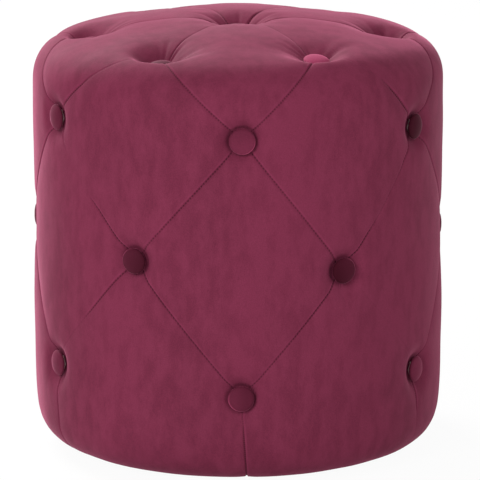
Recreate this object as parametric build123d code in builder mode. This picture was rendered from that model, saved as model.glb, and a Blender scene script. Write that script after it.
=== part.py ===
from build123d import *
import os
from math import asin, atan2, cos, degrees, radians, sin, sqrt, tan

# A round pouf: a plywood and hardboard drum, padded with foam and covered in velvet that is drawn
# in by rows of covered buttons. Millimetres, +Z up, origin on the floor under the middle of the drum,
# front towards -Y. A column is one twelfth of the way round, counted to the right from the front.

# Overall shape of the cover, which is velvet quilted to a fibre fill
pouf_diameter = 400
pouf_height = 426
crown_radius = 700
rim_radius = 38
foot_radius = 32
crown_flats = 3
rim_flats = 3
foot_flats = 2
rim_cut = 24
foot_fill = 5
hem_thickness = 2
hem_width = 48

# Tufting
columns = 12
lower_row_height = 94
upper_row_drop = 87
ring_circle_radius = 150
side_tuft = 7
ring_tuft = 16
centre_tuft = 18
side_pleat = 2
side_pleat_legs = 2
rim_pleat = 3
rim_pleat_legs = 3
top_pleat = 6
foot_pleat = 2
pleat_rise = 1
pleat_slope = 1.3
pleat_lap = 3
hollow_sides = 8
tuft_floor = 2

# The buttons are set by hand, a little off the even pattern: row, column, then millimetres round and up
hand_set = {
    ("upper", 10): (-6.5, 3.5),
    ("upper", 0): (4, 1),
    ("upper", 2): (-3, -4),
    ("middle", 11): (0, 2.5),
    ("middle", 1): (2, -7),
    ("middle", 9): (0, 9.5),
    ("lower", 10): (-9, 4),
    ("lower", 0): (3, -3),
    ("lower", 2): (4, -1),
}

# Tufts that are drawn in less than the rest of their row: row, column, then millimetres
slack = {("ring", 1): 6}

# Buttons, their cords and the toggles that the cords are tied to
button_diameter = 25
button_rim = 2.2
button_dome = 3
button_shoulder = 5
button_sides = 12
seat_diameter = 20
back_diameter = 15
back_sides = 6
back_height = 2.4
cord_diameter = 1.8
cord_sides = 4
cord_hole_diameter = 5
knot_diameter = 4.5
knot_length = 3
toggle_length = 20
toggle_width = 6
toggle_thickness = 4

# Padding and frame
side_padding = 25
top_padding = 66
wall_thickness = 3
wall_gap = 1
top_board_thickness = 12
base_thickness = 15
base_opening = 190
post_count = 6
post_first_angle = 15
post_width = 30
post_depth = 24

# Fasteners, dust cover and feet
screw_diameter = 4
screw_head_diameter = 8
screw_head_height = 2.5
screw_length = 40
screw_sides = 6
glide_count = 4
glide_diameter = 24
glide_height = 6
glide_edge = 1.5
glide_sides = 16
glide_inset = 28
nail_diameter = 2.4
nail_length = 16
nail_cap = 2
nail_sides = 6
dust_cover_thickness = 0.6
dust_cover_margin = 12

# Clearances
soft_gap = 0.3
fit = 0.3
toggle_gap = 0.8
thread_room = 0.1

# Places that follow from the sizes above
drum_radius = pouf_diameter / 2
foot_circle = drum_radius - foot_radius
cover_bottom = glide_height
ball_height = pouf_height - crown_radius
rim_circle = drum_radius - rim_radius
rim_height = ball_height + sqrt((crown_radius - rim_radius) ** 2 - rim_circle ** 2)
rim_sweep = degrees(atan2(rim_height - ball_height, rim_circle))
upper_row_height = pouf_height - upper_row_drop
middle_row_height = (lower_row_height + upper_row_height) / 2
ring_lean = asin(ring_circle_radius / crown_radius)
ring_seat_height = ball_height + (crown_radius - ring_tuft) * cos(ring_lean)
seat_radius = seat_diameter / 2
padding_side = drum_radius - side_tuft - tuft_floor
padding_top = ring_seat_height - seat_radius * sin(ring_lean) - tuft_floor
hem_top = cover_bottom + hem_thickness
foot_turn = (foot_radius - foot_fill) * sqrt(0.5)
foot_rise = (foot_radius - hem_thickness - foot_turn) / foot_turn
column_angle = 360 / columns
corner_stretch = 1 / cos(radians(column_angle / 2))
corner_slope = tan(radians(column_angle / 2))
wall_outer = drum_radius - side_padding
wall_inner = wall_outer - wall_thickness
board_radius = wall_inner - fit
board_top = pouf_height - top_padding
board_bottom = board_top - top_board_thickness
base_bottom = hem_top + soft_gap
base_top = base_bottom + base_thickness
base_edge_chamfer = board_radius - foot_circle / corner_stretch
wall_bottom = hem_top + (wall_outer * corner_stretch - foot_circle) * foot_rise + wall_gap
panel_width = 2 * wall_inner * corner_slope - fit
post_face = wall_inner * corner_stretch - post_width / 2 * corner_slope - fit
post_circle = post_face - post_depth / 2
glide_circle = foot_circle - glide_inset
hem_circle = foot_circle - hem_width
dust_cover_bottom = cover_bottom - dust_cover_thickness
front = -90

os.makedirs("parts", exist_ok=True)


def save(piece, name):
    """Label a finished piece and write it under the same name."""
    piece.part.label = name
    export_step(piece.part, f"parts/{name}.step")


def in_flats(arc, flats):
    """Points along an arc, one more than the flats it is turned in."""
    return [arc @ (flat / flats) for flat in range(flats + 1)]


# The drum's outline from the foot, up the side and over the rim to the middle of the crown, with the
# radius along x and the height along y. Its arcs are turned in flats, to keep the faces of the tufting few.
with BuildLine() as outline:
    foot_arc = CenterArc((foot_circle, cover_bottom + foot_radius), foot_radius, -90, 90, mode=Mode.PRIVATE)
    rim_arc = CenterArc((rim_circle, rim_height), rim_radius, 0, rim_sweep, mode=Mode.PRIVATE)
    crown_arc = CenterArc((0, ball_height), crown_radius, rim_sweep, 90 - rim_sweep, mode=Mode.PRIVATE)
    foot = Polyline(*in_flats(foot_arc, foot_flats))
    Line(foot @ 1, rim_arc @ 0)
    Polyline(*in_flats(rim_arc, rim_flats))
    Polyline(*in_flats(crown_arc, crown_flats))
profile = outline.wire()
foot_end = foot.length
crown_end = profile.length


def side_station(height):
    """Distance along the outline of a point on the straight side."""
    return foot_end + height - (cover_bottom + foot_radius)


# Each row: distance along the outline, which columns hold its buttons (0 even, 1 odd), depth of the tufts
rows = {
    "lower": (side_station(lower_row_height), 0, side_tuft),
    "middle": (side_station(middle_row_height), 1, side_tuft),
    "upper": (side_station(upper_row_height), 0, side_tuft),
    "ring": (crown_end - crown_radius * ring_lean, 1, ring_tuft),
}


def on_profile(station):
    """The outline's point and its outward normal at a station, in the XZ plane."""
    point = profile.position_at(station, position_mode=PositionMode.LENGTH)
    tangent = profile.tangent_at(station, position_mode=PositionMode.LENGTH)
    return Vector(point.X, 0, point.Y), Vector(tangent.Y, 0, -tangent.X)


def on_drum(angle, station, depth):
    """A point on the drum, a depth under its outline, at an angle round from the front."""
    point, normal = on_profile(station)
    return (point - normal * depth).rotate(Axis.Z, front + angle)


def radius_at(station):
    return on_profile(station)[0].X


def button_place(row, column):
    """Angle and station of one button, with its hand-set offset."""
    station = rows[row][0]
    around, up = hand_set.get((row, column % columns), (0, 0))
    return column * column_angle + degrees(around / radius_at(station)), station + up


def tuft_depth(row, column):
    """Depth of one tuft, less its slack."""
    return rows[row][2] - slack.get((row, column % columns), 0)


# Where each button sits: a plane on its seat, with z out of the drum and x round it
def seat_plane(angle, station, depth):
    normal = on_profile(station)[1].rotate(Axis.Z, front + angle)
    around = Vector(0, 1, 0).rotate(Axis.Z, front + angle)
    return Plane(origin=on_drum(angle, station, depth), x_dir=around, z_dir=normal)


button_seats = {
    row: [
        seat_plane(*button_place(row, column), tuft_depth(row, column))
        for column in range(parity, columns, 2)
    ]
    for row, (station, parity, tuft) in rows.items()
}
button_seats["centre"] = [Plane((0, 0, pouf_height - centre_tuft))]
side_seats = button_seats["lower"] + button_seats["middle"] + button_seats["upper"]
top_seats = button_seats["ring"] + button_seats["centre"]


# Pleats: each is a V-shaped cut in straight legs between marks, a mark being an angle, a station and a depth
def pleat_cut(marks, height):
    with BuildPart() as cut:
        for (angle, station, depth), (next_angle, next_station, next_depth) in zip(marks, marks[1:]):
            first = on_drum(angle, station, depth)
            leg = on_drum(next_angle, next_station, next_depth) - first
            between = ((angle + next_angle) / 2, (station + next_station) / 2)
            outward = on_drum(*between, 0) - on_drum(*between, height)
            section = Plane(first, x_dir=outward.cross(leg), z_dir=leg)
            spread = pleat_slope * height
            with BuildSketch(section.offset(-pleat_lap)):
                with BuildLine():
                    Polyline((0, 0), (spread, height), (-spread, height), close=True)
                make_face()
            extrude(amount=leg.length + 2 * pleat_lap)
    return cut.part


def pleats_between(low, high, depth, legs):
    """The pleats from every button of one row to the two nearest buttons of the row above it."""
    cuts = []
    for column in range(rows[low][1], columns, 2):
        angle, station = button_place(low, column)
        for step in (-1, 1):
            next_angle, next_station = button_place(high, column + step)
            turn = (next_angle - angle) / legs
            climb = (next_station - station) / legs
            marks = [(angle + turn * leg, station + climb * leg, depth) for leg in range(1, legs)]
            high_tuft = tuft_depth(high, column + step)
            marks.insert(0, (angle, station, tuft_depth(low, column) - pleat_rise))
            marks.append((next_angle, next_station, high_tuft - pleat_rise))
            cuts.append(pleat_cut(marks, high_tuft + depth))
    return cuts


def crown_pleats():
    """The pleats from the ring of buttons to the middle one."""
    cuts = []
    for column in range(1, columns, 2):
        angle, station = button_place("ring", column)
        marks = [
            (angle, station, tuft_depth("ring", column) - pleat_rise),
            (angle, (station + crown_end) / 2, top_pleat),
            (angle, crown_end - pleat_lap, centre_tuft - pleat_rise),
        ]
        cuts.append(pleat_cut(marks, centre_tuft + top_pleat))
    return cuts


def foot_pleats():
    """The pleats from the lower buttons straight down, which run out on the turn of the foot."""
    cuts = []
    for column in range(0, columns, 2):
        angle, station = button_place("lower", column)
        marks = [
            (angle, station, side_tuft - pleat_rise),
            (angle, foot_end, foot_pleat),
            (angle, foot_end / 2, 0),
        ]
        cuts.append(pleat_cut(marks, side_tuft + foot_pleat))
    return cuts


# How far behind its seat each toggle lies: against the wall or under the top board
side_reach = drum_radius - side_tuft - wall_inner + toggle_gap


def top_reach(seat):
    """Down the cord's slope to the underside of the top board, clear of the toggle's nearer edge."""
    slope = seat.z_dir.Z
    lean = sqrt(1 - slope ** 2) / slope
    return (seat.origin.Z - board_bottom + fit) / slope + lean * toggle_width / 2


reaches = [side_reach for seat in side_seats] + [top_reach(seat) for seat in top_seats]
all_seats = side_seats + top_seats
cord_start = soft_gap + back_height / 2


def cord_holes(diameter):
    """Straight holes along every cord, from the buttons to the toggles."""
    with BuildPart() as holes:
        for seat, reach in zip(all_seats, reaches):
            with BuildSketch(seat.offset(-reach)):
                RegularPolygon(diameter / 2, cord_sides, major_radius=False)
            extrude(amount=cord_start + reach)
    return holes.part


# Padding: what lies inside the cover, which is deeper than every tuft
def padding_form(inset):
    with BuildPart() as form:
        with BuildSketch(Plane.XZ):
            with BuildLine():
                Polyline(
                    (0, hem_top + inset),
                    (foot_circle - inset, hem_top + inset),
                    (foot_circle + foot_turn - inset, cover_bottom + foot_radius - foot_turn + inset),
                    (padding_side - inset, cover_bottom + foot_radius),
                    (padding_side - inset, padding_top - rim_cut - inset),
                    (padding_side - rim_cut - inset, padding_top - inset),
                    (0, padding_top - inset),
                    close=True,
                )
            make_face()
        revolve(axis=Axis.Z)
    return form.part


# Hollow: what one button draws in, from its seat out past the surface of the crown
with BuildPart() as hollow:
    with BuildSketch():
        RegularPolygon(seat_radius + pleat_slope * centre_tuft, hollow_sides, major_radius=False)
    extrude(amount=centre_tuft + pleat_rise)
    seat_edges = hollow.faces().sort_by(Axis.Z)[0].edges()
    chamfer(seat_edges, length=centre_tuft, length2=pleat_slope * centre_tuft)

tuft_holes = cord_holes(cord_diameter + 2 * soft_gap)
cover_inside = padding_form(0)
padding = padding_form(soft_gap)
pleats = (
    pleats_between("lower", "middle", side_pleat, side_pleat_legs)
    + pleats_between("middle", "upper", side_pleat, side_pleat_legs)
    + pleats_between("upper", "ring", rim_pleat, rim_pleat_legs)
    + crown_pleats()
    + foot_pleats()
)

# Cover: quilted velvet with a hollow at each button, pleats between them and a hem under the base
with BuildPart() as cover:
    with BuildSketch(Plane.XZ):
        with BuildLine():
            add(outline.line)
            Line((0, pouf_height), (0, cover_bottom))
            Line((0, cover_bottom), (foot_circle, cover_bottom))
        make_face()
    revolve(axis=Axis.Z)
    with Locations(*all_seats):
        add(hollow.part, mode=Mode.SUBTRACT)
    add(pleats, mode=Mode.SUBTRACT)
    add(cover_inside, mode=Mode.SUBTRACT)
    add(tuft_holes, mode=Mode.SUBTRACT)
    with BuildSketch(Plane.XY.offset(cover_bottom)):
        Circle(hem_circle)
        with PolarLocations(glide_circle, glide_count, start_angle=180 / glide_count):
            RegularPolygon(nail_diameter / 2 + soft_gap, nail_sides, major_radius=False)
    extrude(amount=hem_thickness, mode=Mode.SUBTRACT)
save(cover, "cover")

# Foam: a pad on the top board, and a wrap round the drum wall
with BuildPart() as top_foam:
    add(padding)
    split(bisect_by=Plane.XY.offset(board_top + soft_gap), keep=Keep.TOP)
    add(tuft_holes, mode=Mode.SUBTRACT)
save(top_foam, "top_foam")

with BuildPart() as side_foam:
    add(padding)
    split(bisect_by=Plane.XY.offset(board_top), keep=Keep.BOTTOM)
    with BuildSketch(Plane.XY.offset(cover_bottom)):
        RegularPolygon(wall_outer + soft_gap, columns, major_radius=False, rotation=column_angle / 2)
    extrude(amount=pouf_height, mode=Mode.SUBTRACT)
    add(tuft_holes, mode=Mode.SUBTRACT)
save(side_foam, "side_foam")

# Frame: two twelve-sided plywood boards, six posts between them and a flat hardboard panel on each side
frame_holes = cord_holes(cord_hole_diameter)


def screw_holes(face, depth):
    """Holes for the post screws, with room for their heads at the given face, seen from outside."""
    with BuildPart() as holes:
        with BuildSketch(face):
            with PolarLocations(post_circle, post_count, start_angle=face.z_dir.Z * post_first_angle):
                RegularPolygon(screw_head_diameter / 2 + thread_room, screw_sides, major_radius=False)
        extrude(amount=-screw_head_height)
        with BuildSketch(face):
            with PolarLocations(post_circle, post_count, start_angle=face.z_dir.Z * post_first_angle):
                RegularPolygon(screw_diameter / 2 + thread_room, screw_sides, major_radius=False)
        extrude(amount=-depth)
    return holes.part


top_face = Plane.XY.offset(board_top)
base_face = Plane.XY.offset(base_bottom).rotated((180, 0, 0))
top_screw_holes = screw_holes(top_face, screw_length)
base_screw_holes = screw_holes(base_face, screw_length)

with BuildPart() as top_board:
    with BuildSketch(Plane.XY.offset(board_bottom)):
        RegularPolygon(board_radius, columns, major_radius=False, rotation=column_angle / 2)
    extrude(amount=top_board_thickness)
    add(top_screw_holes, mode=Mode.SUBTRACT)
    add(frame_holes, mode=Mode.SUBTRACT)
save(top_board, "top_board")

with BuildPart() as base_ring:
    with BuildSketch(Plane.XY.offset(base_bottom)):
        RegularPolygon(board_radius, columns, major_radius=False, rotation=column_angle / 2)
        with PolarLocations(glide_circle, glide_count, start_angle=180 / glide_count):
            RegularPolygon(nail_diameter / 2 + thread_room, nail_sides, major_radius=False, mode=Mode.SUBTRACT)
    extrude(amount=base_thickness)
    foot_edges = base_ring.faces().sort_by(Axis.Z)[0].outer_wire().edges()
    chamfer(foot_edges, base_edge_chamfer)
    with BuildSketch(Plane.XY.offset(base_bottom)):
        RegularPolygon(base_opening / 2, columns, major_radius=False, rotation=column_angle / 2)
    extrude(amount=base_thickness, mode=Mode.SUBTRACT)
    add(base_screw_holes, mode=Mode.SUBTRACT)
save(base_ring, "base_ring")

for number, place in enumerate(PolarLocations(wall_inner, columns), start=1):
    with BuildPart() as panel:
        with BuildSketch(Plane(place).offset(wall_bottom)):
            Rectangle(wall_thickness, panel_width, align=(Align.MIN, Align.CENTER))
        extrude(amount=board_top - wall_bottom)
        add(frame_holes, mode=Mode.SUBTRACT)
    save(panel, f"wall_panel_{number}")

for number, place in enumerate(PolarLocations(post_circle, post_count, post_first_angle), start=1):
    with BuildPart() as post:
        with BuildSketch(Plane(place).offset(base_top)):
            Rectangle(post_depth, post_width)
        extrude(amount=board_bottom - base_top)
        add([top_screw_holes, base_screw_holes], mode=Mode.SUBTRACT)
    save(post, f"post_{number}")

# Wood screws: six down through the top board and six up through the base, into the posts
for name, face in (("top_board_screws", top_face), ("base_ring_screws", base_face)):
    with BuildPart() as screws:
        with BuildSketch(face):
            with PolarLocations(post_circle, post_count, start_angle=face.z_dir.Z * post_first_angle):
                RegularPolygon(screw_head_diameter / 2, screw_sides, major_radius=False)
        extrude(amount=-screw_head_height)
        with BuildSketch(face.offset(-screw_head_height)):
            with PolarLocations(post_circle, post_count, start_angle=face.z_dir.Z * post_first_angle):
                RegularPolygon(screw_diameter / 2, screw_sides, major_radius=False)
        extrude(amount=screw_head_height - screw_length)
    save(screws, name)

# Covered buttons: a domed cap, held off its seat by a back with an eye for the cord
cap_bottom = soft_gap + back_height
button_nodes = {
    "lower": "lower_row_buttons",
    "middle": "middle_row_buttons",
    "upper": "upper_row_buttons",
    "ring": "top_ring_buttons",
    "centre": "centre_button",
}
for row, name in button_nodes.items():
    with BuildPart() as buttons:
        for seat in button_seats[row]:
            with BuildSketch(seat.offset(cap_bottom)):
                RegularPolygon(button_diameter / 2, button_sides, major_radius=False)
            extrude(amount=button_rim + button_dome)
            crown_face = buttons.faces().sort_by(Axis(seat.origin, seat.z_dir))[-1]
            chamfer(crown_face.edges(), length=button_dome, length2=button_shoulder)
    save(buttons, name)

with BuildPart() as button_backs:
    for seat in all_seats:
        with BuildSketch(seat.offset(soft_gap)):
            RegularPolygon(back_diameter / 2, back_sides, major_radius=False)
            RegularPolygon(cord_diameter / 2 + thread_room, cord_sides, major_radius=False, mode=Mode.SUBTRACT)
        extrude(amount=back_height)
save(button_backs, "button_backs")

# Tufting cords, each from a button's eye to a knot behind its toggle
with BuildPart() as tuft_cords:
    for seat, reach in zip(all_seats, reaches):
        knot_start = reach + toggle_thickness
        with BuildSketch(seat.offset(-knot_start)):
            RegularPolygon(cord_diameter / 2, cord_sides, major_radius=False)
        extrude(amount=cord_start + knot_start)
        with BuildSketch(seat.offset(-knot_start - knot_length)):
            RegularPolygon(knot_diameter / 2, cord_sides, major_radius=False)
        extrude(amount=knot_length)
save(tuft_cords, "tuft_cords")

with BuildPart() as cord_toggles:
    for seat, reach in zip(all_seats, reaches):
        with BuildSketch(seat.offset(-reach - toggle_thickness)):
            Rectangle(toggle_length, toggle_width)
            RegularPolygon(cord_diameter / 2 + thread_room, cord_sides, major_radius=False, mode=Mode.SUBTRACT)
        extrude(amount=toggle_thickness)
save(cord_toggles, "cord_toggles")

# Underneath: a thin dust cover over the hem, and four plastic glides nailed through it
with BuildPart() as dust_cover:
    with BuildSketch(Plane.XY.offset(dust_cover_bottom)):
        Circle(foot_circle - dust_cover_margin)
        with PolarLocations(glide_circle, glide_count, start_angle=180 / glide_count):
            RegularPolygon(nail_diameter / 2 + soft_gap, nail_sides, major_radius=False, mode=Mode.SUBTRACT)
    extrude(amount=dust_cover_thickness)
save(dust_cover, "dust_cover")

with BuildPart() as glides:
    with BuildSketch():
        with PolarLocations(glide_circle, glide_count, start_angle=180 / glide_count):
            RegularPolygon(glide_diameter / 2, glide_sides, major_radius=False)
    extrude(amount=dust_cover_bottom)
    chamfer(glides.faces().filter_by(Axis.Z).group_by(Axis.Z)[0].edges(), glide_edge)
    with BuildSketch(Plane.XY.offset(dust_cover_bottom)):
        with PolarLocations(glide_circle, glide_count, start_angle=180 / glide_count):
            RegularPolygon(nail_diameter / 2 + thread_room, nail_sides, major_radius=False)
    extrude(amount=nail_cap - dust_cover_bottom, mode=Mode.SUBTRACT)
save(glides, "glides")

with BuildPart() as glide_nails:
    with BuildSketch(Plane.XY.offset(nail_cap)):
        with PolarLocations(glide_circle, glide_count, start_angle=180 / glide_count):
            RegularPolygon(nail_diameter / 2, nail_sides, major_radius=False)
    extrude(amount=nail_length)
save(glide_nails, "glide_nails")
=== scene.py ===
from math import asin, atan2, cos, exp, hypot, pi, sin, sqrt

import bmesh
import bpy
import numpy as np
from mathutils import Matrix, Vector, noise
from mathutils.kdtree import KDTree


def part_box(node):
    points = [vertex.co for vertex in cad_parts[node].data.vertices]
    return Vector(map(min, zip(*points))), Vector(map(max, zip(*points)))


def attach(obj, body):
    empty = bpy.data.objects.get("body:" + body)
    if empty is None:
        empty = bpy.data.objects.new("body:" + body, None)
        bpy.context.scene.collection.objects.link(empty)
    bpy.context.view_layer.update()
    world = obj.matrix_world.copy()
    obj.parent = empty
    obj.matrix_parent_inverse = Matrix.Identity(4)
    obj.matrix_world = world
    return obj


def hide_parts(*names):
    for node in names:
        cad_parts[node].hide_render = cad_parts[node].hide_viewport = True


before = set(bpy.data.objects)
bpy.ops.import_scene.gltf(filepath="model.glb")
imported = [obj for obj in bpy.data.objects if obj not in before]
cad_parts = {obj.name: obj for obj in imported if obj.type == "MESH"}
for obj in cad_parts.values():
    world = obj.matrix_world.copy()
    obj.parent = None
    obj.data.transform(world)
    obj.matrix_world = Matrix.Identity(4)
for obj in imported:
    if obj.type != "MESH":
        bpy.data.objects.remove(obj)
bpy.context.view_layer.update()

# A round tufted velvet pouf, dressed over its CAD frame. Metres, +Z up, front towards -Y.
bl_info = {
    "name": "Tufted pouf",
    "version": (1, 0, 0),
    "blender": (4, 5, 0),
    "location": "View3D > Sidebar > Pouf",
    "description": "Builds the soft parts, finishes and studio of a tufted velvet pouf",
    "category": "Add Mesh",
}

cover_low, cover_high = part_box("cover")
dust_low, dust_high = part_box("dust_cover")
top_foam_low, top_foam_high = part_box("top_foam")
side_foam_low, side_foam_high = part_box("side_foam")
glide_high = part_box("glides")[1]
panel_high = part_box("wall_panel_1")[1]

COLUMNS = 12
# The buttons and the front pleat's foot are set one by one, a little off the even pattern: row, column, then
# metres round and up
HAND_SET = {
    ("foot", 0): (0.0102, 0.0),
    ("upper", 10): (-0.0065, 0.0035),
    ("upper", 0): (0.004, 0.001),
    ("upper", 2): (-0.003, -0.004),
    ("middle", 11): (0.0, 0.0025),
    ("middle", 1): (0.002, -0.007),
    ("middle", 9): (0.0, 0.0095),
    ("lower", 10): (-0.009, 0.004),
    ("lower", 0): (0.003, -0.003),
    ("lower", 2): (0.004, -0.001),
}
# Tufts that are drawn in less than the rest of their row
SLACK = {("ring", 1): 0.006}
# By row and column: the painted light on a button's velvet, as a share from its painted shaded copy to its
# painted lit copy, and the angle from its right-hand side at which its rim gets a painted highlight
BUTTON_PAINTED_LIGHT = {
    ("upper", 10): (0.18, 3.1),
    ("upper", 0): (0.26, -0.9),
    ("upper", 2): (0.0, 0.0),
    ("middle", 11): (0.07, 2.9),
    ("middle", 1): (0.035, 0.2),
    ("lower", 10): (0.25, 3.1),
    ("lower", 0): (0.17, -2.5),
    ("lower", 2): (0.285, 0.0),
    ("ring", 11): (0.09, 2.9),
    ("ring", 1): (0.78, 0.0),
}
# The painted light on the other buttons, which differs a little from one to the next
USUAL_PAINTED_LIGHT = 0.16
PAINTED_LIGHT_VARIES = 0.14
BUTTON_NODES = {
    "lower": "lower_row_buttons",
    "middle": "middle_row_buttons",
    "upper": "upper_row_buttons",
    "ring": "top_ring_buttons",
    "centre": "centre_button",
}
ON_CROWN = ("ring", "centre")


def length(name, description, default):
    return bpy.props.FloatProperty(
        name=name, description=description, default=default, unit="LENGTH", precision=4
    )


def colour(name, description, default):
    return bpy.props.FloatVectorProperty(
        name=name, description=description, default=default, subtype="COLOR", min=0, max=1
    )


class PoufSizes(bpy.types.PropertyGroup):
    """Sizes of the cover, its tufting and its buttons"""

    crown_height: length("Crown height", "Height of the crown's middle before it is tufted", 0.426)
    crown_radius: length("Crown radius", "Radius of the crown's curve", 0.7)
    rim_radius: length("Rim radius", "Radius of the turn from side to crown", 0.038)
    foot_radius: length("Foot radius", "Radius of the turn under the side", 0.032)
    hem_width: length("Hem width", "How far the velvet is turned under the base", 0.048)
    lower_row_height: length("Lower row", "Height of the lower row of buttons", 0.094)
    upper_row_drop: length("Upper row drop", "How far the upper row lies under the crown's middle", 0.087)
    ring_circle_radius: length("Ring radius", "Radius of the ring of buttons on the crown", 0.15)
    side_tuft: length("Side tuft", "Depth of the tufts on the side", 0.007)
    ring_tuft: length("Ring tuft", "Depth of the tufts round the crown", 0.016)
    centre_tuft: length("Centre tuft", "Depth of the tuft in the middle of the crown", 0.018)
    side_pleat: length("Side pleat", "Depth of the pleats on the side", 0.0007)
    rim_pleat: length("Rim pleat", "Depth of the pleats over the rim", 0.0013)
    crown_pleat: length("Crown pleat", "Depth of the pleats on the crown", 0.004)
    foot_pleat: length("Foot pleat", "Depth of the pleats under the lower row", 0.0008)
    shoulder: length("Shoulder", "How far the pads stand proud where the side turns into the crown", 0.003)
    pad_swell: length("Pad swell", "How far the pads on the side swell between their pleats", 0.0012)
    crease_depth: length("Crease depth", "Depth of the narrow crease along each pleat", 0.001)
    button_diameter: length("Button diameter", "Diameter of the covered buttons", 0.025)
    button_height: length("Button height", "Height of a covered button above its back", 0.0058)
    button_back: length("Button back", "Height of a button's back above its seat", 0.0027)


class PoufColours(bpy.types.PropertyGroup):
    """Colours of the finishes"""

    velvet: colour("Velvet", "Velvet seen straight on", (0.165, 0.0205, 0.0515))
    velvet_brushed: colour("Brushed velvet", "Velvet where the nap lies the other way", (0.22, 0.0306, 0.072))
    sheen: colour("Sheen", "Velvet's sheen at a flat angle", (1.0, 0.3, 0.48))
    # The buttons' velvet as a painted lit copy and a painted shaded copy; each button is mixed between them
    # by its painted light
    button: colour("Button", "Buttons with the nap towards the light", (0.44, 0.066, 0.152))
    button_painted_shade: colour("Dark button", "Buttons with the nap away from the light", (0.043, 0.0022, 0.0095))
    foam: colour("Foam", "Upholstery foam", (0.82, 0.74, 0.5))
    plywood: colour("Plywood", "Face of the plywood boards", (0.6, 0.42, 0.24))
    hardboard: colour("Hardboard", "Face of the hardboard panels", (0.22, 0.12, 0.06))
    softwood: colour("Softwood", "Sawn softwood posts", (0.68, 0.48, 0.27))
    dust_cloth: colour("Dust cloth", "Non-woven cloth under the base", (0.02, 0.02, 0.021))
    floor: colour("Floor", "Studio floor", (0.86, 0.86, 0.86))


class Outline:
    """The drum's outline from the foot, up the side and over the rim to the middle of the crown."""

    def __init__(self, sizes):
        self.bottom = cover_low.z
        self.radius = (cover_high.x - cover_low.x) / 2
        self.foot_radius = sizes.foot_radius
        self.rim_radius = sizes.rim_radius
        self.crown_radius = sizes.crown_radius
        self.foot_circle = self.radius - self.foot_radius
        self.foot_height = self.bottom + self.foot_radius
        self.ball_height = sizes.crown_height - self.crown_radius
        self.rim_circle = self.radius - self.rim_radius
        reach = self.crown_radius - self.rim_radius
        self.rim_height = self.ball_height + sqrt(reach ** 2 - self.rim_circle ** 2)
        self.rim_sweep = atan2(self.rim_height - self.ball_height, self.rim_circle)
        self.foot_end = self.foot_radius * pi / 2
        self.side_end = self.foot_end + self.rim_height - self.foot_height
        self.rim_end = self.side_end + self.rim_radius * self.rim_sweep
        self.crown_end = self.rim_end + self.crown_radius * (pi / 2 - self.rim_sweep)

    def at(self, station):
        """Radius, height and outward normal at a distance along the outline."""
        if station < self.foot_end:
            turn = station / self.foot_radius - pi / 2
            centre, arm = (self.foot_circle, self.foot_height), self.foot_radius
        elif station < self.side_end:
            return self.radius, self.foot_height + station - self.foot_end, 1.0, 0.0
        elif station < self.rim_end:
            turn = (station - self.side_end) / self.rim_radius
            centre, arm = (self.rim_circle, self.rim_height), self.rim_radius
        else:
            turn = self.rim_sweep + (station - self.rim_end) / self.crown_radius
            centre, arm = (0.0, self.ball_height), self.crown_radius
        return centre[0] + arm * cos(turn), centre[1] + arm * sin(turn), cos(turn), sin(turn)

    def point(self, angle, station, depth=0.0):
        """A point a depth under the outline, at an angle to the right from the front."""
        radius, height, out, up = self.at(station)
        radius -= out * depth
        return Vector((radius * sin(angle), -radius * cos(angle), height - up * depth))

    def normal(self, angle, station):
        out, up = self.at(station)[2:]
        return Vector((out * sin(angle), -out * cos(angle), up))


class Tufting:
    """Where the buttons sit and how deep each tuft is."""

    def __init__(self, sizes, outline):
        self.outline = outline
        lower = sizes.lower_row_height
        upper = sizes.crown_height - sizes.upper_row_drop
        heights = {"lower": lower, "middle": (lower + upper) / 2, "upper": upper}
        lean = asin(sizes.ring_circle_radius / sizes.crown_radius)
        self.stations = {"foot": 0.0, "centre": outline.crown_end}
        self.stations["ring"] = outline.crown_end - sizes.crown_radius * lean
        self.depths = {"ring": sizes.ring_tuft, "centre": sizes.centre_tuft}
        for row, height in heights.items():
            self.stations[row] = outline.foot_end + height - outline.foot_height
            self.depths[row] = sizes.side_tuft

    def place(self, row, column):
        """Angle and station of one button or pleat's foot, with its listed offset."""
        around, up = HAND_SET.get((row, column % COLUMNS), (0.0, 0.0))
        return column * 2 * pi / COLUMNS + around / self.outline.radius, self.stations[row] + up

    def depth(self, row, column):
        """Depth of one tuft, less its slack."""
        return self.depths[row] - SLACK.get((row, column % COLUMNS), 0.0)

    def columns(self, row):
        even = range(0, COLUMNS, 2)
        return {"lower": even, "upper": even, "centre": [0]}.get(row, range(1, COLUMNS, 2))

    def seats(self, row):
        """Each button's column, its point at the bottom of the tuft and its normal."""
        found = []
        for column in self.columns(row):
            angle, station = self.place(row, column)
            point = self.outline.point(angle, station, self.depth(row, column))
            found.append((column, point, self.outline.normal(angle, station)))
        return found


def button_painted_light(row, column):
    """A button's painted light: its share on the velvet, and the angle at which its rim gets a painted
    highlight.
    """
    usual = USUAL_PAINTED_LIGHT + PAINTED_LIGHT_VARIES * sin(3.3 * column + len(row))
    return BUTTON_PAINTED_LIGHT.get((row, column), (usual, 2.1 * column))


def facing(normal):
    """The directions to the right and up on a surface seen from outside."""
    across = Vector((0, 0, 1)).cross(normal)
    across = across.normalized() if across.length > 1e-6 else Vector((1, 0, 0))
    return across, normal.cross(across)


def eased(low, high, value):
    """0 below low, 1 above high and a smooth step between."""
    share = min(1.0, max(0.0, (value - low) / (high - low)))
    return share * share * (3 - 2 * share)


def new_object(name, data):
    """An object in the scene for a mesh, a lamp or a camera."""
    made = bpy.data.objects.new(name, data)
    bpy.context.scene.collection.objects.link(made)
    return made


def write_mesh(shape, mesh):
    """Move a shape into a mesh, shaded smooth."""
    for face in shape.faces:
        face.smooth = True
    shape.to_mesh(mesh)
    shape.free()
    return mesh


def new_piece(name, shape):
    return new_object(name, write_mesh(shape, bpy.data.meshes.new(name)))


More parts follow.
